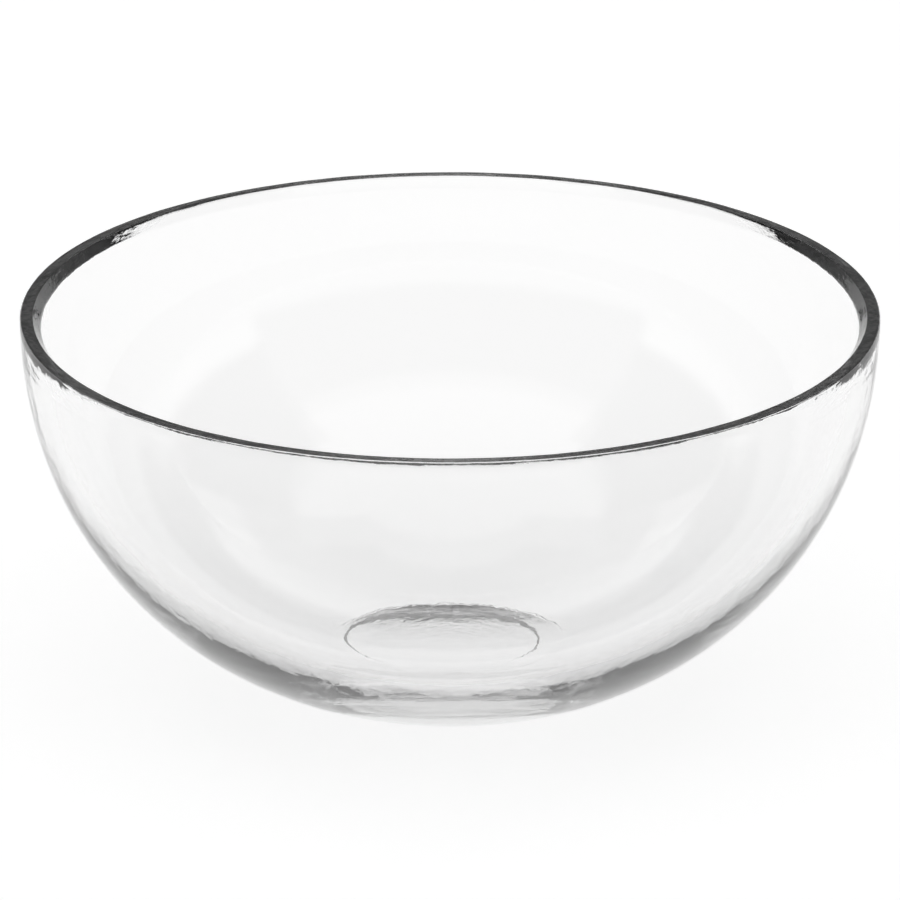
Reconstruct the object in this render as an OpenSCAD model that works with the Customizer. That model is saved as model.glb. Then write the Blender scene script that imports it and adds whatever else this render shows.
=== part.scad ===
// Round glass serving bowl, pressed and fire polished in one piece.
// The bowl stands on the plane z = 0 and the z axis is the axis of its wall.

/* [Overall] */
// Outside diameter at the rim
rim_d = 200; // [180:1:230]
// Height from the table to the rim
bowl_h = 91; // [86:1:96]

/* [Outer surface] */
// Slope at which the big upper sphere turns into the tighter lower curve
outer_turn = 73.9; // [66:0.1:80]
// Radius of the flat that the bowl rests on
foot_r = 28.5; // [28:0.1:32]
// Rounding between the foot and the wall
foot_edge_r = 4; // [1:0.5:6]

/* [Rim] */
// Thickness of the wall under the rim
rim_w = 5; // [4:0.1:6]
// Width of the flat top of the rim, from the outside to the bevel
flat_w = 3.1; // [2:0.1:3.6]
// Rounding of the outer edge of the rim
outer_edge_r = 0.5; // [0.3:0.1:1.2]
// Slope of the bevel inside the rim, from upright
bevel_tilt = 40; // [30:1:50]
// Rounding between the flat top and the bevel
bevel_top_r = 0.3; // [0.1:0.05:0.6]
// Rounding between the bevel and the wall
bevel_foot_r = 1.5; // [0.5:0.1:3]

/* [Inner surface] */
// How far the centre of the inside's upper sphere lies above the rim
wall_gain = 0.5; // [0:0.1:1.5]
// Slope at which the upper sphere of the inside turns into the bend
bend_turn = 74; // [70:1:76]
// Slope at which the bend turns into the dished floor
floor_turn = 24.2; // [20:0.1:28]
// Height of the inside floor above the table, on the axis
floor_t = 4.1; // [3:0.1:6]

/* [Recess under the foot] */
// Radius of the shallow round recess pressed into the foot
recess_r = 24.1; // [18:0.1:25]
// Depth of the recess
recess_h = 0.5; // [0.3:0.05:1]
// Width of the sloping edge of the recess
recess_edge_w = 0.6; // [0.2:0.05:1]
// How far the mould's base plug sat off the axis, towards -X
recess_shift = 2; // [0:0.1:2.2]

/* [Hidden] */
$fn = 360;
// Length by which a cut runs past the surface that it opens
overrun = 1;
// Angle by which one sector runs on under its neighbour
seam_lap = 2;
// Slope of an upright wall
level_turn = 90;
// Reach of a sector's straight sides, as a share of its arc's radius
reach_share = 2;
// Radius of the filled middle of the bend, as a share of its arc's radius
core_share = 0.5;

// Outer upper sphere, centred in the plane of the rim
rim_r = rim_d / 2;
rim_centre = [0, bowl_h];
// Outer lower curve: touches the upper sphere at outer_turn and the rounding of the foot
foot_edge = [foot_r, foot_edge_r];
lower_r = touching_r(rim_r, rim_centre, outer_turn, foot_edge, foot_edge_r);
lower_centre = rim_centre + (rim_r - lower_r) * square_to(outer_turn);

// Inner upper sphere, centred a little above the rim so that the wall thickens downwards
mouth_r = rim_r - rim_w;
mouth_centre = [0, bowl_h + wall_gain];
// Bend and dished floor: a chain of touching arcs from the upper sphere to the axis
inside_depth = mouth_centre[1] - floor_t;
turn_share = cos(bend_turn) + sin(bend_turn) * tan(floor_turn / 2);
bend_r = (inside_depth - mouth_r * turn_share) / (1 - turn_share);
bend_centre = mouth_centre + (mouth_r - bend_r) * square_to(bend_turn);
floor_r = bend_r + bend_centre[0] / sin(floor_turn);
floor_centre = [0, floor_t + floor_r];

// Rounding of the outer edge: touches the flat top and, from inside, the outer sphere
outer_edge = [
    sqrt(pow(rim_r - outer_edge_r, 2) - pow(outer_edge_r, 2)),
    bowl_h - outer_edge_r
];
// Bevel: starts at the end of the flat top and faces inwards and up
bevel_start = [rim_r - flat_w, bowl_h];
bevel_side = [-cos(bevel_tilt), sin(bevel_tilt)];
// Centre of the rounding that touches the flat top and the bevel
bevel_top = bevel_start + bevel_top_r * [(1 - sin(bevel_tilt)) / cos(bevel_tilt), -1];
// Centre of the rounding that touches the bevel and, from outside, the inner sphere
bevel_foot_reach = bevel_foot_r - (bevel_start - mouth_centre) * bevel_side;
wall_end = 180 - bevel_tilt - asin(bevel_foot_reach / (mouth_r + bevel_foot_r));
bevel_foot = mouth_centre + (mouth_r + bevel_foot_r) * square_to(wall_end);

// Unit vector square to a surface whose slope from level is a, pointing out and down
function square_to(a) = [sin(a), -cos(a)];

// Slope at which a ray from p through q is square to the surface
function slope_of(p, q) = atan2(q[0] - p[0], p[1] - q[1]);

// Radius of the arc that touches a circle from inside at slope a and a smaller circle around p
function touching_r(r, centre, a, p, p_r) =
    let (v = p - centre, along = v * square_to(a))
    (v * v - 2 * r * along + r * r - p_r * p_r) / (2 * (r - p_r - along));

// Sector of a circle between two slopes
module sector(r, centre, from, to) {
    intersection() {
        translate(centre) circle(r = r);
        polygon([
            centre,
            centre + r * reach_share * square_to(from),
            centre + r * reach_share * square_to(to)
        ]);
    }
}

// Half of the space inside the outer surface, with its wall side complete
module outer_half() {
    sector(rim_r, rim_centre, outer_turn, slope_of(rim_centre, outer_edge));
    sector(lower_r, lower_centre, slope_of(lower_centre, foot_edge), outer_turn + seam_lap);
    translate(outer_edge) circle(r = outer_edge_r);
    translate([mouth_r - rim_w, bowl_h - rim_w]) square([outer_edge[0] - mouth_r + rim_w, rim_w]);
    translate(foot_edge) circle(r = foot_edge_r);
    square(foot_r);
}

// The flare where the mouth opens over the bevel
module mouth_flare() {
    difference() {
        polygon([
            mouth_centre,
            bevel_foot,
            bevel_top,
            [bevel_top[0], mouth_centre[1] + overrun],
            [0, mouth_centre[1] + overrun]
        ]);
        translate(bevel_foot) circle(r = bevel_foot_r);
        translate(bevel_top) circle(r = bevel_top_r);
        polygon([
            bevel_foot,
            bevel_top,
            bevel_top + bevel_top_r * bevel_side,
            bevel_foot + bevel_foot_r * bevel_side
        ]);
    }
}

// Half of the space inside the inner surface, open at the top
module inner_half() {
    sector(mouth_r, mouth_centre, bend_turn, level_turn + seam_lap);
    sector(bend_r, bend_centre, floor_turn - seam_lap, bend_turn + seam_lap);
    translate(bend_centre) circle(r = bend_r * core_share);
    sector(floor_r, floor_centre, 0, floor_turn);
    mouth_flare();
}

// Cross-section of the glass on one side of the axis
module wall_section() {
    intersection() {
        translate([0, -overrun]) square(rim_d);
        difference() {
            outer_half();
            inner_half();
        }
    }
}

// The shallow recess in the foot, a little off the axis, with a sloping edge
module foot_recess() {
    spread = recess_edge_w * (recess_h + overrun) / recess_h;
    translate([-recess_shift, 0, -overrun])
        cylinder(h = recess_h + overrun, r1 = recess_r + spread, r2 = recess_r);
}

// The whole bowl: one solid of glass turned about the z axis, less its recess
module bowl() {
    color([0.85, 0.9, 0.9, 0.5])
        difference() {
            rotate_extrude() wall_section();
            foot_recess();
        }
}

bowl();
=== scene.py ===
"""Looks of the round glass serving bowl: glass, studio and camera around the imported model.

Lengths are in metres and angles in degrees unless a name says otherwise. The bowl stands on
the plane z = 0 and z is the axis of its wall.
"""

import logging
import math
from dataclasses import dataclass, field, replace
from enum import Enum

import bmesh
import bpy
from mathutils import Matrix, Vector

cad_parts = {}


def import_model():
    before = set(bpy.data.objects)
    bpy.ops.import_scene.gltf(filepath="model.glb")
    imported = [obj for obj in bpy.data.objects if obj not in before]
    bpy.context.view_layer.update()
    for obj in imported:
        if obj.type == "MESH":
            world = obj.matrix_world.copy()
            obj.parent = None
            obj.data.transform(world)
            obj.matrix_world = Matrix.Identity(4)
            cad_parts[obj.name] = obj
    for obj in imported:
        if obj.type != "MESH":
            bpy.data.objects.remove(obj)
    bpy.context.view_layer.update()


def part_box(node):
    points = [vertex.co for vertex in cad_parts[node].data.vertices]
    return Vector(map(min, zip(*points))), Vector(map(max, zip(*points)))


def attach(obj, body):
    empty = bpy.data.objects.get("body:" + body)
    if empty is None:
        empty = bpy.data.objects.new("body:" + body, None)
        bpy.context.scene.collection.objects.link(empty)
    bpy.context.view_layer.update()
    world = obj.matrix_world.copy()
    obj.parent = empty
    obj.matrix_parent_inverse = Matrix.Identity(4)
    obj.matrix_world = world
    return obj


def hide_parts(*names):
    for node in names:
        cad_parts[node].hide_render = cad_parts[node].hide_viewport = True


Point = tuple[float, float]
Socket = bpy.types.NodeSocket
Value = float | tuple | Socket

MM = 0.001
# Points of the section that are closer than this are one point
SAME_POINT = 1e-7
# Points of the turned mesh that are closer than this are merged
MERGE_GAP = 1e-6
# Side of the flat grid that is wrapped round the axis: a place on it is a share of the way
GRID_SIDE = 1.0
# Slopes of a face that looks straight down, straight up and straight inwards
FACES_DOWN = 0.0
FACES_UP = 180.0
FACES_IN = 270.0
WHITE = (1.0, 1.0, 1.0, 1.0)
BLACK = (0.0, 0.0, 0.0, 1.0)
# Attributes of the section: how strong each kind of ripple is at a point
RIPPLES = ("waves", "streaks")

log = logging.getLogger("bowl")


def square_to(slope: float) -> Point:
    """Direction out of a surface of the turned section.

    Args:
        slope: Slope of the surface; 0 faces down, 90 faces outwards, 180 faces up.

    Returns:
        The unit vector (outwards, up) square to the surface.
    """
    angle = math.radians(slope)
    return math.sin(angle), -math.cos(angle)


def ease(share: float) -> float:
    """Soft step from 0 to 1 with level ends, for a share of the way from 0 to 1."""
    return 0.5 - 0.5 * math.cos(math.pi * share)


def grey(level: float) -> tuple[float, float, float, float]:
    """Neutral colour of one level, from 0 for black to 1 for full white."""
    return level, level, level, 1.0


def straight(start: Point, end: Point, steps: int) -> list[Point]:
    """Points along a straight stretch of the section.

    Args:
        start: Where it starts (radius from the axis, height).
        end: Where it ends.
        steps: Number of equal steps.

    Returns:
        The points, both ends included.
    """
    shares = [step / steps for step in range(steps + 1)]
    return [
        (start[0] + (end[0] - start[0]) * share, start[1] + (end[1] - start[1]) * share)
        for share in shares
    ]


def add_object(name: str, data: bpy.types.ID) -> bpy.types.Object:
    """Puts a mesh or a camera into the scene, at the origin.

    Args:
        name: The object's name.
        data: What it shows.

    Returns:
        The new object.
    """
    made = bpy.data.objects.new(name, data)
    bpy.context.scene.collection.objects.link(made)
    return made


@dataclass(frozen=True)
class Arc:
    """A round stretch of the turned section, from one slope to another.

    The slopes belong to directions from the centre, as square_to gives them.
    """

    centre: Point
    radius: float
    start: float
    end: float

    def points(self, steps: int) -> list[Point]:
        """Points along the arc.

        Args:
            steps: Number of equal steps.

        Returns:
            The points (radius from the axis, height), both ends included.
        """
        found = []
        for step in range(steps + 1):
            across, up = square_to(self.start + (self.end - self.start) * step / steps)
            found.append((self.centre[0] + self.radius * across, self.centre[1] + self.radius * up))
        return found


class Face(Enum):
    """The faces of the bowl, each with the strength of its broad waves and of its streaks.

    The broad waves are even in all directions. The streaks run round the bowl.
    """

    RECESS = (0.4, 0.3)
    FOOT = (0.6, 1.3)
    OUTSIDE = (0.5, 0.0)
    RIM = (0.2, 1.0)
    UNDER_RIM = (0.9, 0.45)
    INSIDE = (0.4, 0.0)
    FLOOR = (0.45, 0.0)


@dataclass(frozen=True)
class SectionPoint:
    """One point of the turned section: its place, and how rippled the glass is there."""

    radius: float
    height: float
    waves: float
    streaks: float


@dataclass(frozen=True)
class SectionSteps:
    """Number of equal steps in each stretch of the section."""

    recess: int = 42
    recess_edge: int = 8
    foot_ring: int = 8
    foot_edge: int = 6
    outer_lower: int = 36
    outer_upper: int = 12
    rim_edge: int = 8
    rim_top: int = 11
    bevel_top: int = 6
    bevel: int = 9
    bevel_foot: int = 9
    under_rim: int = 8
    wall: int = 14
    bend: int = 26
    floor: int = 26


@dataclass(frozen=True)
class BowlSection:
    """Section of the glass on one side of the axis, as a chain of touching arcs.

    The sizes are those of the solid model. Only streak_end is the visual model's own: the slope
    down to which the wall under the rim is streaked.
    """

    rim_radius: float
    height: float
    outer_turn: float = 73.9
    foot_radius: float = 28.5 * MM
    foot_edge_radius: float = 4 * MM
    rim_width: float = 5 * MM
    flat_width: float = 3.1 * MM
    outer_edge_radius: float = 0.5 * MM
    bevel_tilt: float = 40.0
    bevel_top_radius: float = 0.3 * MM
    bevel_foot_radius: float = 1.5 * MM
    wall_gain: float = 0.5 * MM
    bend_turn: float = 74.0
    streak_end: float = 86.0
    floor_turn: float = 24.2
    floor_height: float = 4.1 * MM
    recess_radius: float = 24.1 * MM
    recess_depth: float = 0.5 * MM
    recess_edge_width: float = 0.6 * MM
    steps: SectionSteps = SectionSteps()

    def lower_arc(self) -> Arc:
        """The outer lower curve, from the rounding of the foot to the upper sphere.

        Returns:
            The arc that touches the upper sphere from inside and the rounding of the foot.
        """
        along_x, along_z = square_to(self.outer_turn)
        foot_x, foot_z = self.foot_radius, self.foot_edge_radius - self.height
        along = foot_x * along_x + foot_z * along_z
        rest = self.rim_radius - self.foot_edge_radius - along
        reach = foot_x**2 + foot_z**2 - 2 * self.rim_radius * along + self.rim_radius**2
        radius = (reach - self.foot_edge_radius**2) / (2 * rest)
        gap = self.rim_radius - radius
        centre = (gap * along_x, self.height + gap * along_z)
        foot_slope = math.degrees(math.atan2(foot_x - centre[0], centre[1] - self.foot_edge_radius))
        return Arc(centre, radius, foot_slope, self.outer_turn)

    def bend_arc(self) -> Arc:
        """The bend of the inside, from the upper sphere down to the dished floor.

        Returns:
            The arc that touches both, running downwards.
        """
        mouth_centre, mouth_radius = self.mouth()
        across, up = square_to(self.bend_turn)
        share = -up + across * math.tan(math.radians(self.floor_turn / 2))
        radius = (mouth_centre[1] - self.floor_height - mouth_radius * share) / (1 - share)
        gap = mouth_radius - radius
        centre = (gap * across, mouth_centre[1] + gap * up)
        return Arc(centre, radius, self.bend_turn, self.floor_turn)

    def floor_arc(self, bend: Arc) -> Arc:
        """The dished floor, from the end of the bend to the axis.

        Args:
            bend: The bend of the inside.

        Returns:
            The arc that touches the bend and is level on the axis.
        """
        radius = bend.radius + bend.centre[0] / square_to(self.floor_turn)[0]
        return Arc((0.0, self.floor_height + radius), radius, self.floor_turn, FACES_DOWN)

    def mouth(self) -> tuple[Point, float]:
        """Centre and radius of the upper sphere of the inside; the centre is above the rim."""
        return (0.0, self.height + self.wall_gain), self.rim_radius - self.rim_width

    def rim_edge_arc(self) -> Arc:
        """The rounding of the rim's outer edge, from the upper sphere to the flat top.

        Returns:
            The arc that touches both.
        """
        edge = self.outer_edge_radius
        centre = (math.sqrt((self.rim_radius - edge) ** 2 - edge**2), self.height - edge)
        return Arc(centre, edge, math.degrees(math.atan2(centre[0], edge)), FACES_UP)

    def bevel(self) -> tuple[Arc, Arc]:
        """The bevel inside the rim, as its two roundings; the straight bevel joins them.

        Returns:
            The arc from the flat top into the bevel, and the arc from the bevel into the wall.
        """
        tilt = math.radians(self.bevel_tilt)
        across, up = -math.cos(tilt), math.sin(tilt)
        start = self.rim_radius - self.flat_width
        top_radius, foot_radius = self.bevel_top_radius, self.bevel_foot_radius
        top = (start + top_radius * (1 - up) / -across, self.height - top_radius)
        centre, radius = self.mouth()
        reach = foot_radius - (start * across + (self.height - centre[1]) * up)
        lean = math.degrees(math.asin(reach / (radius + foot_radius)))
        wall_end = FACES_UP - self.bevel_tilt - lean
        out, rise = square_to(wall_end)
        foot = ((radius + foot_radius) * out, centre[1] + (radius + foot_radius) * rise)
        face = FACES_IN - self.bevel_tilt
        into_bevel = Arc(top, top_radius, FACES_UP, face)
        return into_bevel, Arc(foot, foot_radius, face, FACES_UP + wall_end)

    def recess_points(self) -> list[Point]:
        """The recess under the foot, its sloping edge and the flat ring round it.

        Returns:
            The points from the axis to the start of the foot's rounding.
        """
        steps = self.steps
        corner = (self.recess_radius, self.recess_depth)
        found = straight((0.0, self.recess_depth), corner, steps.recess)
        for step in range(1, steps.recess_edge + 1):
            share = step / steps.recess_edge
            across = self.recess_radius + self.recess_edge_width * share
            found.append((across, self.recess_depth * (1 - ease(share))))
        return found + straight(found[-1], (self.foot_radius, 0.0), steps.foot_ring)[1:]

    def points(self) -> list[SectionPoint]:
        """The whole section, from the axis under the foot over the rim to the axis inside.

        Returns:
            The points in order, with the ripples of the face that each lies on.
        """
        steps = self.steps
        lower, bend = self.lower_arc(), self.bend_arc()
        edge = self.foot_edge_radius
        foot_edge = Arc((self.foot_radius, edge), edge, FACES_DOWN, lower.start)
        rim_edge = self.rim_edge_arc()
        upper = Arc((0.0, self.height), self.rim_radius, self.outer_turn, rim_edge.start)
        top, foot = self.bevel()
        top_points, foot_points = top.points(steps.bevel_top), foot.points(steps.bevel_foot)
        flat_start = (rim_edge.centre[0], self.height)
        under_rim = Arc(*self.mouth(), foot.end - FACES_UP, self.streak_end)
        wall = Arc(*self.mouth(), self.streak_end, self.bend_turn)
        stretches = [
            (Face.RECESS, self.recess_points()),
            (Face.FOOT, foot_edge.points(steps.foot_edge)),
            (Face.OUTSIDE, lower.points(steps.outer_lower)),
            (Face.OUTSIDE, upper.points(steps.outer_upper)),
            (Face.RIM, rim_edge.points(steps.rim_edge)),
            (Face.RIM, straight(flat_start, top_points[0], steps.rim_top)),
            (Face.RIM, top_points),
            (Face.RIM, straight(top_points[-1], foot_points[0], steps.bevel)),
            (Face.RIM, foot_points),
            (Face.UNDER_RIM, under_rim.points(steps.under_rim)),
            (Face.INSIDE, wall.points(steps.wall)),
            (Face.INSIDE, bend.points(steps.bend)),
            (Face.FLOOR, self.floor_arc(bend).points(steps.floor)),
        ]
        chain: list[SectionPoint] = []
        last = (math.inf, math.inf)
        for face, found in stretches:
            for point in found:
                if math.dist(last, point) >= SAME_POINT:
                    chain.append(SectionPoint(*point, *face.value))
                    last = point
        chain[-1] = replace(chain[-1], radius=0.0)
        return chain


class TreeBuilder:
    """Adds nodes to a tree, sets their values and links them in one call each."""

    def __init__(self, tree: bpy.types.NodeTree) -> None:
        """Keeps the tree that the nodes go into."""
        self.tree = tree

    @classmethod
    def over(cls, owner: bpy.types.Material | bpy.types.World) -> "TreeBuilder":
        """Starts the tree of a material or a world.

        Args:
            owner: The material or world, whose own nodes are cleared away.

        Returns:
            A builder of its tree.
        """
        owner.use_nodes = True
        owner.node_tree.nodes.clear()
        return cls(owner.node_tree)

    def add(
        self, kind: str, values: dict[str | int, Value] | None = None, **props: object
    ) -> bpy.types.Node:
        """Adds one node.

        Args:
            kind: The node's type name.
            values: Inputs by name or place: a socket to link from, or a value to set.
            props: Properties to set on the node, by name.

        Returns:
            The new node.
        """
        node = self.tree.nodes.new(kind)
        for name, value in props.items():
            setattr(node, name, value)
        for name, value in (values or {}).items():
            if isinstance(value, Socket):
                self.tree.links.new(value, node.inputs[name])
            else:
                node.inputs[name].default_value = value
        return node

    def math(self, operation: str, *values: Value) -> Socket:
        """Adds a Math node and returns its result."""
        return self.add("ShaderNodeMath", dict(enumerate(values)), operation=operation).outputs[0]

    def apart(self, vector: Socket) -> bpy.types.NodeOutputs:
        """Takes a vector apart and returns its three parts."""
        return self.add("ShaderNodeSeparateXYZ", {0: vector}).outputs

    def vector(self, *parts: Value) -> Socket:
        """Puts parts together and returns the vector."""
        return self.add("ShaderNodeCombineXYZ", dict(enumerate(parts))).outputs[0]

    def streak_noise(
        self, place: Socket, along: Value, across: Value, seed: Value, detail: float
    ) -> Socket:
        """Noise of streaks that run round the axis.

        Args:
            place: Place of the point.
            along: Scale along the streaks.
            across: Scale across them, both outwards and up.
            seed: Seed of the noise.
            detail: Detail of the noise.

        Returns:
            The noise, from 0 to 1.
        """
        parts = self.apart(place)
        drawn = self.vector(
            self.math("MULTIPLY", parts[0], along),
            self.math("MULTIPLY", parts[1], along),
            self.math("MULTIPLY", parts[2], across),
        )
        flat = self.vector(parts[0], parts[1])
        radius = self.add("ShaderNodeVectorMath", {0: flat}, operation="LENGTH").outputs["Value"]
        outwards = self.math("ADD", self.math("MULTIPLY", radius, across), seed)
        values = {"Vector": drawn, "W": outwards, "Scale": 1.0, "Detail": detail}
        return self.add("ShaderNodeTexNoise", values, noise_dimensions="4D").outputs[0]


@dataclass
class TurningTree:
    """Geometry tree that turns a section about the axis and ripples the glass."""

    name: str = "turned_glass"
    wave_detail: float = 1.5
    streak_detail: float = 1.0
    inputs: dict[str, str] = field(default_factory=dict)

    def build(self) -> bpy.types.NodeTree:
        """Makes the tree.

        Returns:
            The node group, with its inputs' identifiers kept by name in self.inputs.
        """
        tree = bpy.data.node_groups.new(self.name, "GeometryNodeTree")
        sockets = {
            "Section": "NodeSocketGeometry",
            "Turn Steps": "NodeSocketInt",
            "Recess Shift": "NodeSocketFloat",
            "Shift Start": "NodeSocketFloat",
            "Shift End": "NodeSocketFloat",
            "Underside": "NodeSocketFloat",
            "Wave Height": "NodeSocketFloat",
            "Wave Scale": "NodeSocketFloat",
            "Streak Height": "NodeSocketFloat",
            "Streaks Along": "NodeSocketFloat",
            "Streaks Across": "NodeSocketFloat",
            "Seed": "NodeSocketFloat",
            "Glass": "NodeSocketMaterial",
        }
        for label, kind in sockets.items():
            made = tree.interface.new_socket(label, in_out="INPUT", socket_type=kind)
            self.inputs[label] = made.identifier
        tree.interface.new_socket("Bowl", in_out="OUTPUT", socket_type="NodeSocketGeometry")
        build = TreeBuilder(tree)
        given = build.add("NodeGroupInput").outputs
        rippled = self.ripple(build, given, self.turn(build, given))
        smooth = build.add("GeometryNodeSetShadeSmooth", {0: rippled}).outputs[0]
        real = build.add("GeometryNodeRealizeInstances", {0: smooth}).outputs[0]
        dressed = build.add("GeometryNodeSetMaterial", {0: real, "Material": given["Glass"]})
        build.add("NodeGroupOutput", {0: dressed.outputs[0]})
        return tree

    def turn(self, build: TreeBuilder, given: bpy.types.NodeOutputs) -> Socket:
        """Wraps a grid round the axis: one row of it for each point of the section.

        Args:
            build: Builder of the tree.
            given: Outputs of the tree's input node.

        Returns:
            The closed turned mesh with outward faces, whose points keep the section's ripples.
        """
        section = given["Section"]
        size = build.add("GeometryNodeAttributeDomainSize", {0: section}, component="MESH")
        rows = size.outputs["Point Count"]
        grid = build.add(
            "GeometryNodeMeshGrid",
            {
                "Size X": GRID_SIDE,
                "Size Y": GRID_SIDE,
                "Vertices X": rows,
                "Vertices Y": build.math("ADD", given["Turn Steps"], 1.0),
            },
        )
        on_grid = build.apart(build.add("GeometryNodeInputPosition").outputs[0])
        row_share = build.math("ADD", on_grid[0], GRID_SIDE / 2)
        last_row = build.math("SUBTRACT", rows, 1.0)
        row = build.math("ROUND", build.math("MULTIPLY", row_share, last_row))
        turn_share = build.math("ADD", on_grid[1], GRID_SIDE / 2)
        angle = build.math("MULTIPLY", turn_share, math.tau)
        place = build.add("GeometryNodeInputPosition").outputs[0]
        parts = build.apart(self.sample(build, section, row, place, "FLOAT_VECTOR"))
        radius, height = parts[0], parts[2]
        centred = build.math("MULTIPLY", radius, build.math("COSINE", angle))
        across = build.math("SUBTRACT", centred, self.shift(build, given, radius, height))
        along = build.math("MULTIPLY", radius, build.math("SINE", angle))
        mesh = grid.outputs["Mesh"]
        for name in RIPPLES:
            strength = self.sample(build, section, row, self.strength(build, name), "FLOAT")
            kept = {0: mesh, "Name": name, "Value": strength}
            mesh = build.add(
                "GeometryNodeStoreNamedAttribute", kept, data_type="FLOAT", domain="POINT"
            ).outputs[0]
        spot = build.vector(across, along, height)
        wrapped = build.add("GeometryNodeSetPosition", {0: mesh, "Position": spot}).outputs[0]
        closed = build.add("GeometryNodeMergeByDistance", {0: wrapped, "Distance": MERGE_GAP})
        return build.add("GeometryNodeFlipFaces", {0: closed.outputs[0]}).outputs[0]

    @staticmethod
    def shift(
        build: TreeBuilder, given: bpy.types.NodeOutputs, radius: Socket, height: Socket
    ) -> Socket:
        """Distance towards -X by which the recess sits off the axis.

        Args:
            build: Builder of the tree.
            given: Outputs of the tree's input node.
            radius: Distance of the point from the axis.
            height: Height of the point.

        Returns:
            The whole shift in the recess, fading to none at the foot's rounding.
        """
        near = build.add(
            "ShaderNodeMapRange",
            {
                "Value": radius,
                "From Min": given["Shift Start"],
                "From Max": given["Shift End"],
                "To Min": 1.0,
                "To Max": 0.0,
            },
            interpolation_type="SMOOTHSTEP",
        ).outputs[0]
        under = build.math("LESS_THAN", height, given["Underside"])
        return build.math("MULTIPLY", build.math("MULTIPLY", near, under), given["Recess Shift"])

    @staticmethod
    def sample(
        build: TreeBuilder, section: Socket, row: Socket, value: Socket, kind: str
    ) -> Socket:
        """Reads what one point of the section holds.

        Args:
            build: Builder of the tree.
            section: The section's mesh.
            row: Number of the point.
            value: What is read there.
            kind: Its data type.

        Returns:
            The value read.
        """
        values = {0: section, "Value": value, "Index": row}
        read = build.add("GeometryNodeSampleIndex", values, data_type=kind, domain="POINT")
        return read.outputs[0]

    @staticmethod
    def strength(build: TreeBuilder, name: str) -> Socket:
        """Strength of one kind of ripple, from the attribute of that name."""
        return build.add(
            "GeometryNodeInputNamedAttribute", {"Name": name}, data_type="FLOAT"
        ).outputs[0]

    def ripple(self, build: TreeBuilder, given: bpy.types.NodeOutputs, mesh: Socket) -> Socket:
        """Draws the surface in by the waves and streaks that fire polishing leaves.

        Args:
            build: Builder of the tree.
            given: Outputs of the tree's input node.
            mesh: The turned mesh.

        Returns:
            The rippled mesh.
        """
        place = build.add("GeometryNodeInputPosition").outputs[0]
        waves = build.add(
            "ShaderNodeTexNoise",
            {
                "Vector": place,
                "W": given["Seed"],
                "Scale": given["Wave Scale"],
                "Detail": self.wave_detail,
            },
            noise_dimensions="4D",
        ).outputs[0]
        along, across = given["Streaks Along"], given["Streaks Across"]
        streaks = build.streak_noise(place, along, across, given["Seed"], self.streak_detail)
        depth = build.math(
            "ADD",
            self.depth(build, waves, "waves", given["Wave Height"]),
            self.depth(build, streaks, "streaks", given["Streak Height"]),
        )
        normal = build.add("GeometryNodeInputNormal").outputs[0]
        inwards = {0: normal, "Scale": build.math("MULTIPLY", depth, -1.0)}
        offset = build.add("ShaderNodeVectorMath", inwards, operation="SCALE").outputs[0]
        return build.add("GeometryNodeSetPosition", {0: mesh, "Offset": offset}).outputs[0]

    def depth(self, build: TreeBuilder, noise: Socket, name: str, height: Socket) -> Socket:
        """Depth of one kind of ripple at each point.

        Args:
            build: Builder of the tree.
            noise: The ripple's noise, from 0 to 1.
            name: Attribute with its strength.
            height: Depth where noise and strength are both 1.

        Returns:
            The depth in metres.
        """
        return build.math(
            "MULTIPLY", noise, build.math("MULTIPLY", self.strength(build, name), height)
        )


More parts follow.
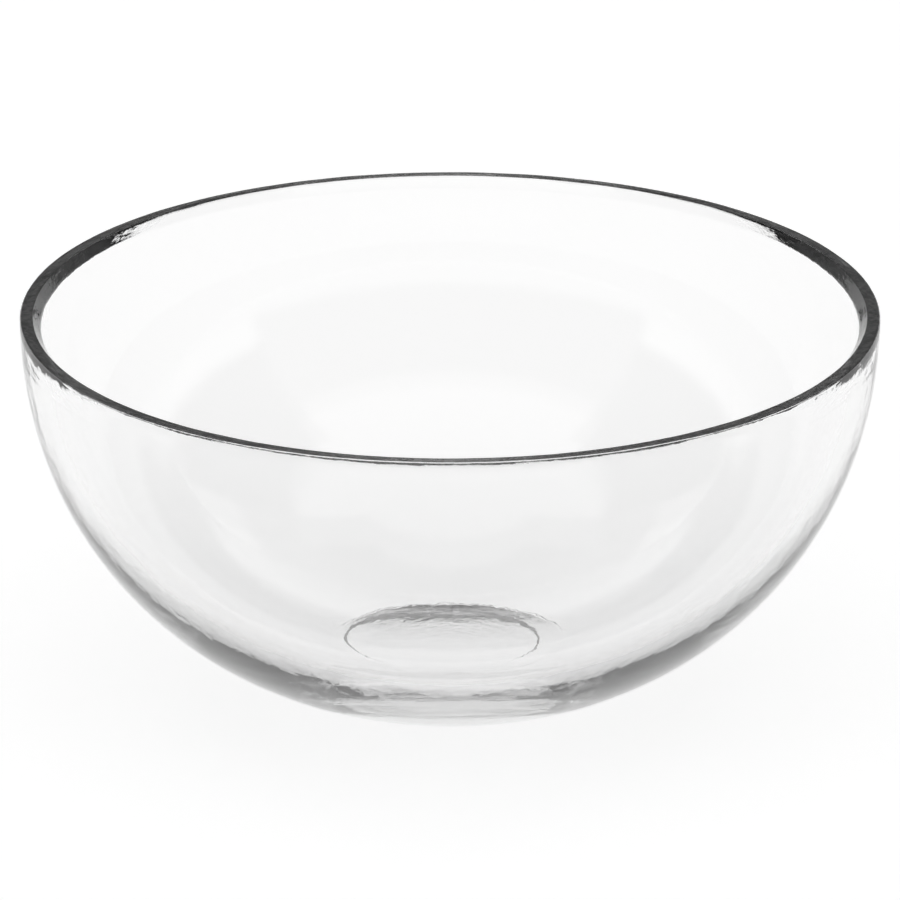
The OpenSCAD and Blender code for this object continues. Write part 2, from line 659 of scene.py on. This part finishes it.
@dataclass(frozen=True)
class ClearGlass:
    """Clear pressed glass, with the fine ripple and streaks of fire polishing in its surface.

    The heights of ripple and streaks are in metres. The haze is a roughness.
    """

    name: str = "clear_glass"
    refraction: float = 1.5
    absorption: float = 6.0
    ripple_scale: float = 260.0
    ripple_detail: float = 2.0
    ripple_height: float = 0.00001
    streaks_along: float = 330.0
    streaks_across: float = 900.0
    streak_detail: float = 2.0
    streak_height: float = 0.0001
    seed: float = 0.0
    haze_scale: float = 35.0
    haze_detail: float = 3.0
    haze_from: float = 0.45
    haze_to: float = 0.75
    haze_low: float = 0.0
    haze_high: float = 0.012

    def build(self) -> bpy.types.Material:
        """Makes the material.

        Returns:
            The material, with bump and roughness from noise and absorption in its depth.
        """
        material = bpy.data.materials.new(self.name)
        build = TreeBuilder.over(material)
        place = build.add("ShaderNodeTexCoord").outputs["Object"]
        glass = build.add(
            "ShaderNodeBsdfPrincipled",
            {
                "Base Color": WHITE,
                "Transmission Weight": 1.0,
                "IOR": self.refraction,
                "Roughness": self.haze(build, place),
                "Normal": self.bump(build, place),
            },
        ).outputs[0]
        depth = build.add(
            "ShaderNodeVolumeAbsorption", {"Color": BLACK, "Density": self.absorption}
        ).outputs[0]
        build.add("ShaderNodeOutputMaterial", {"Surface": glass, "Volume": depth})
        return material

    def haze(self, build: TreeBuilder, place: Socket) -> Socket:
        """Faint haze in patches, where the polish is a little less bright.

        Args:
            build: Builder of the material.
            place: Object coordinates.

        Returns:
            The roughness.
        """
        noise = build.add(
            "ShaderNodeTexNoise",
            {"Vector": place, "Scale": self.haze_scale, "Detail": self.haze_detail},
        )
        patches = {
            "Value": noise.outputs[0],
            "From Min": self.haze_from,
            "From Max": self.haze_to,
            "To Min": self.haze_low,
            "To Max": self.haze_high,
        }
        return build.add("ShaderNodeMapRange", patches).outputs[0]

    def bump(self, build: TreeBuilder, place: Socket) -> Socket:
        """Fine ripple all over, and fine streaks where the section has streaks.

        Args:
            build: Builder of the material.
            place: Object coordinates.

        Returns:
            The bumped normal.
        """
        fine = build.add(
            "ShaderNodeTexNoise",
            {"Vector": place, "Scale": self.ripple_scale, "Detail": self.ripple_detail},
        ).outputs[0]
        noise = build.streak_noise(
            place, self.streaks_along, self.streaks_across, self.seed, self.streak_detail
        )
        strength = build.add(
            "ShaderNodeAttribute", attribute_type="GEOMETRY", attribute_name="streaks"
        ).outputs["Fac"]
        streaks = build.math("MULTIPLY", noise, strength)
        height = build.math(
            "ADD",
            build.math("MULTIPLY", fine, self.ripple_height),
            build.math("MULTIPLY", streaks, self.streak_height),
        )
        in_metres = {"Strength": 1.0, "Distance": 1.0, "Height": height}
        return build.add("ShaderNodeBump", in_metres).outputs[0]


@dataclass(frozen=True)
class GlassBowl:
    """The bowl itself: one piece of glass turned from its section."""

    section: BowlSection
    finish: ClearGlass = ClearGlass()
    turn_steps: int = 384
    recess_shift: float = 2 * MM
    wave_height: float = 0.08 * MM
    wave_scale: float = 110.0
    streak_height: float = 0.14 * MM
    streaks_along: float = 110.0
    streaks_across: float = 550.0
    seed: float = 4.0

    def build(self) -> bpy.types.Object:
        """Builds and dresses the bowl, and places it on the model's body.

        Returns:
            The finished mesh object.
        """
        start = self.section_object()
        turning = TurningTree()
        modifier = start.modifiers.new("turned", "NODES")
        modifier.node_group = turning.build()
        section = self.section
        values = {
            "Turn Steps": self.turn_steps,
            "Recess Shift": self.recess_shift,
            "Shift Start": section.recess_radius + section.recess_edge_width,
            "Shift End": section.foot_radius,
            "Underside": 2 * section.recess_depth,
            "Wave Height": self.wave_height,
            "Wave Scale": self.wave_scale,
            "Streak Height": self.streak_height,
            "Streaks Along": self.streaks_along,
            "Streaks Across": self.streaks_across,
            "Seed": self.seed,
            "Glass": self.finish.build(),
        }
        for label, value in values.items():
            modifier[turning.inputs[label]] = value
        bowl = self.plain_mesh(start)
        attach(bowl, "root")
        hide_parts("bowl")
        log.info("glass_bowl: %d faces", len(bowl.data.polygons))
        return bowl

    def section_object(self) -> bpy.types.Object:
        """Puts the section into an object as a chain of edges.

        Returns:
            The object, whose points carry the strengths of waves and streaks.
        """
        chain = self.section.points()
        mesh = bpy.data.meshes.new("bowl_section")
        mesh.from_pydata(
            [(point.radius, 0.0, point.height) for point in chain],
            [(step, step + 1) for step in range(len(chain) - 1)],
            [],
        )
        for name in RIPPLES:
            strength = mesh.attributes.new(name, "FLOAT", "POINT")
            strength.data.foreach_set("value", [getattr(point, name) for point in chain])
        return add_object("bowl_section", mesh)

    @staticmethod
    def plain_mesh(start: bpy.types.Object) -> bpy.types.Object:
        """Turns the object's evaluated geometry into a plain mesh with outward faces.

        Args:
            start: The object with the modifier, which is removed with it.

        Returns:
            The new object at the origin.
        """
        graph = bpy.context.evaluated_depsgraph_get()
        mesh = bpy.data.meshes.new_from_object(start.evaluated_get(graph), depsgraph=graph)
        start.modifiers.clear()
        bpy.data.objects.remove(start)
        mesh.name = "glass_bowl"
        work = bmesh.new()
        work.from_mesh(mesh)
        bmesh.ops.recalc_face_normals(work, faces=work.faces)
        work.to_mesh(mesh)
        work.free()
        return add_object("glass_bowl", mesh)


class Side(Enum):
    """Side of the bowl that a patch of light is on, as the two angles that it lies between.

    An angle of 0 is behind the camera and 180 is behind the bowl. The outermost angles lie
    past these two, so that no soft edge shows there.
    """

    ALL_ROUND = (-20.0, 200.0)
    IN_FRONT = (-20.0, 60.0)
    BESIDE = (60.0, 120.0)
    BEHIND = (120.0, 200.0)


@dataclass(frozen=True)
class SkyPatch:
    """One evenly lit patch of the studio's surroundings, between two heights above level.

    It lies on both sides of the view at once. A height of 100 is past straight up and one of
    -100 past straight down, so that no soft edge shows there.
    """

    name: str
    light: float
    low: float
    high: float
    side: Side = Side.ALL_ROUND


@dataclass(frozen=True)
class Studio:
    """Plain studio: pale floor, pale backdrop up to a low horizon, and soft even patches of light.

    A patch shows sky_colour times its own light, and 1 is full white. The rim's flat top mirrors
    what lies just above the horizon behind the bowl, so that is dark.
    """

    floor_reach: float = 12.0
    floor_colour: float = 0.45
    floor_own_light: float = 0.80
    sky_colour: float = 0.8
    patch_edge: float = 2.0
    patches: tuple[SkyPatch, ...] = (
        SkyPatch("backdrop", 1.0, -100, 12),
        SkyPatch("low_behind", 0.3, 12, 20, Side.BEHIND),
        SkyPatch("wall_behind", 0.15, 20, 30, Side.BEHIND),
        SkyPatch("bank_behind", 1.2, 30, 42, Side.BEHIND),
        SkyPatch("bank_behind_top", 0.5, 42, 55, Side.BEHIND),
        SkyPatch("above_bank", 0.1, 55, 72, Side.BEHIND),
        SkyPatch("low_sides", 1.2, 12, 20, Side.BESIDE),
        SkyPatch("sides", 0.06, 20, 55, Side.BESIDE),
        SkyPatch("high_sides", 1.0, 55, 72, Side.BESIDE),
        SkyPatch("wall_in_front", 0.4, 12, 42, Side.IN_FRONT),
        SkyPatch("bank_in_front", 1.1, 42, 72, Side.IN_FRONT),
        SkyPatch("ceiling", 1.0, 72, 100),
    )

    def build(self) -> None:
        """Builds the floor and the world, and reports the light of each patch."""
        self.floor()
        self.world()
        lights = ", ".join(f"{patch.name} {patch.light}" for patch in self.patches)
        log.info("studio: floor and patches of light: %s", lights)

    def floor(self) -> None:
        """Builds the floor: pale paper that shows white, with the bowl's soft shadow on it."""
        reach = self.floor_reach
        corners = [(-reach, -reach, 0), (reach, -reach, 0), (reach, reach, 0), (-reach, reach, 0)]
        mesh = bpy.data.meshes.new("studio_floor")
        mesh.from_pydata(corners, [], [tuple(range(len(corners)))])
        made = add_object("studio_floor", mesh)
        material = bpy.data.materials.new("pale_floor")
        build = TreeBuilder.over(material)
        paper = build.add("ShaderNodeBsdfDiffuse", {"Color": grey(self.floor_colour)}).outputs[0]
        path = build.add("ShaderNodeLightPath").outputs
        seen = build.math("MAXIMUM", path["Is Camera Ray"], path["Is Transmission Ray"])
        seen = build.math("MAXIMUM", seen, path["Is Glossy Ray"])
        glow = build.math("MULTIPLY", seen, self.floor_own_light)
        own = build.add("ShaderNodeEmission", {"Strength": glow}).outputs[0]
        both = build.add("ShaderNodeAddShader", {0: paper, 1: own}).outputs[0]
        build.add("ShaderNodeOutputMaterial", {"Surface": both})
        mesh.materials.append(material)

    def world(self) -> None:
        """Makes the world: the sum of its patches, by height and by angle from the view."""
        world = bpy.data.worlds.new("studio_world")
        bpy.context.scene.world = world
        build = TreeBuilder.over(world)
        parts = build.apart(build.add("ShaderNodeTexCoord").outputs["Generated"])
        height = build.math("DEGREES", build.math("ARCSINE", parts[2]))
        turned = build.math("ARCTAN2", parts[0], build.math("MULTIPLY", parts[1], -1.0))
        angle = build.math("DEGREES", build.math("ABSOLUTE", turned))
        total: Value = 0.0
        for patch in self.patches:
            inside = build.math(
                "MULTIPLY",
                self.between(build, height, patch.low, patch.high),
                self.between(build, angle, *patch.side.value),
            )
            total = build.math("ADD", total, build.math("MULTIPLY", inside, patch.light))
        sky = {"Color": grey(self.sky_colour), "Strength": total}
        light = build.add("ShaderNodeBackground", sky).outputs[0]
        build.add("ShaderNodeOutputWorld", {"Surface": light})

    def between(self, build: TreeBuilder, value: Socket, low: float, high: float) -> Socket:
        """Share of a patch at a direction, with soft edges that add up to 1 with its neighbour's.

        Args:
            build: Builder of the world's tree.
            value: Height or angle of the direction, in degrees.
            low: Where the patch starts.
            high: Where it ends.

        Returns:
            The share, from 0 outside the patch to 1 inside it.
        """
        steps = []
        for edge in (low, high):
            soft = self.patch_edge
            ends = {"Value": value, "From Min": edge - soft, "From Max": edge + soft}
            step = build.add("ShaderNodeMapRange", ends, interpolation_type="SMOOTHSTEP")
            steps.append(step.outputs[0])
        return build.math("SUBTRACT", steps[0], steps[1])


@dataclass(frozen=True)
class PhotoCamera:
    """Camera at the photograph's place: a long lens, a little above the rim."""

    elevation: float = 20.38
    distance: float = 3.0
    aim_height: float = 56.89 * MM
    focal_pixels: float = 12862.0
    frame_pixels: float = 900.0
    sensor_mm: float = 36.0
    nearest: float = 0.05
    furthest: float = 100.0

    def build(self) -> None:
        """Makes the camera and sets it as the scene's."""
        data = bpy.data.cameras.new("photo_camera")
        data.sensor_width = self.sensor_mm
        data.lens = self.sensor_mm * self.focal_pixels / self.frame_pixels
        data.clip_start = self.nearest
        data.clip_end = self.furthest
        made = add_object("photo_camera", data)
        aim = Vector((0.0, 0.0, self.aim_height))
        angle = math.radians(self.elevation)
        made.location = aim + self.distance * Vector((0.0, -math.cos(angle), math.sin(angle)))
        made.rotation_euler = (aim - made.location).to_track_quat("-Z", "Y").to_euler()
        bpy.context.scene.camera = made
        log.info("photo_camera: lens %.0f mm", data.lens)


@dataclass(frozen=True)
class LightPaths:
    """How often light may turn on its way: enough for the many faces of a thick glass base."""

    through_glass: int = 80
    off_paper: int = 1

    def apply(self, scene: bpy.types.Scene) -> None:
        """Gives the scene a plain view and these light paths.

        Args:
            scene: The scene to set.
        """
        scene.view_settings.view_transform = "Standard"
        scene.cycles.diffuse_bounces = self.off_paper
        scene.cycles.max_bounces = self.through_glass
        scene.cycles.transmission_bounces = self.through_glass
        scene.cycles.glossy_bounces = self.through_glass


def main() -> None:
    """Builds the bowl in its studio, in order."""
    logging.basicConfig(level=logging.INFO, format="%(name)s %(message)s")
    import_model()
    low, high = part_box("bowl")
    rim_radius = (high[0] - low[0]) / 2
    GlassBowl(BowlSection(rim_radius=rim_radius, height=high[2])).build()
    Studio().build()
    PhotoCamera().build()
    LightPaths().apply(bpy.context.scene)


if __name__ == "__main__":
    main()
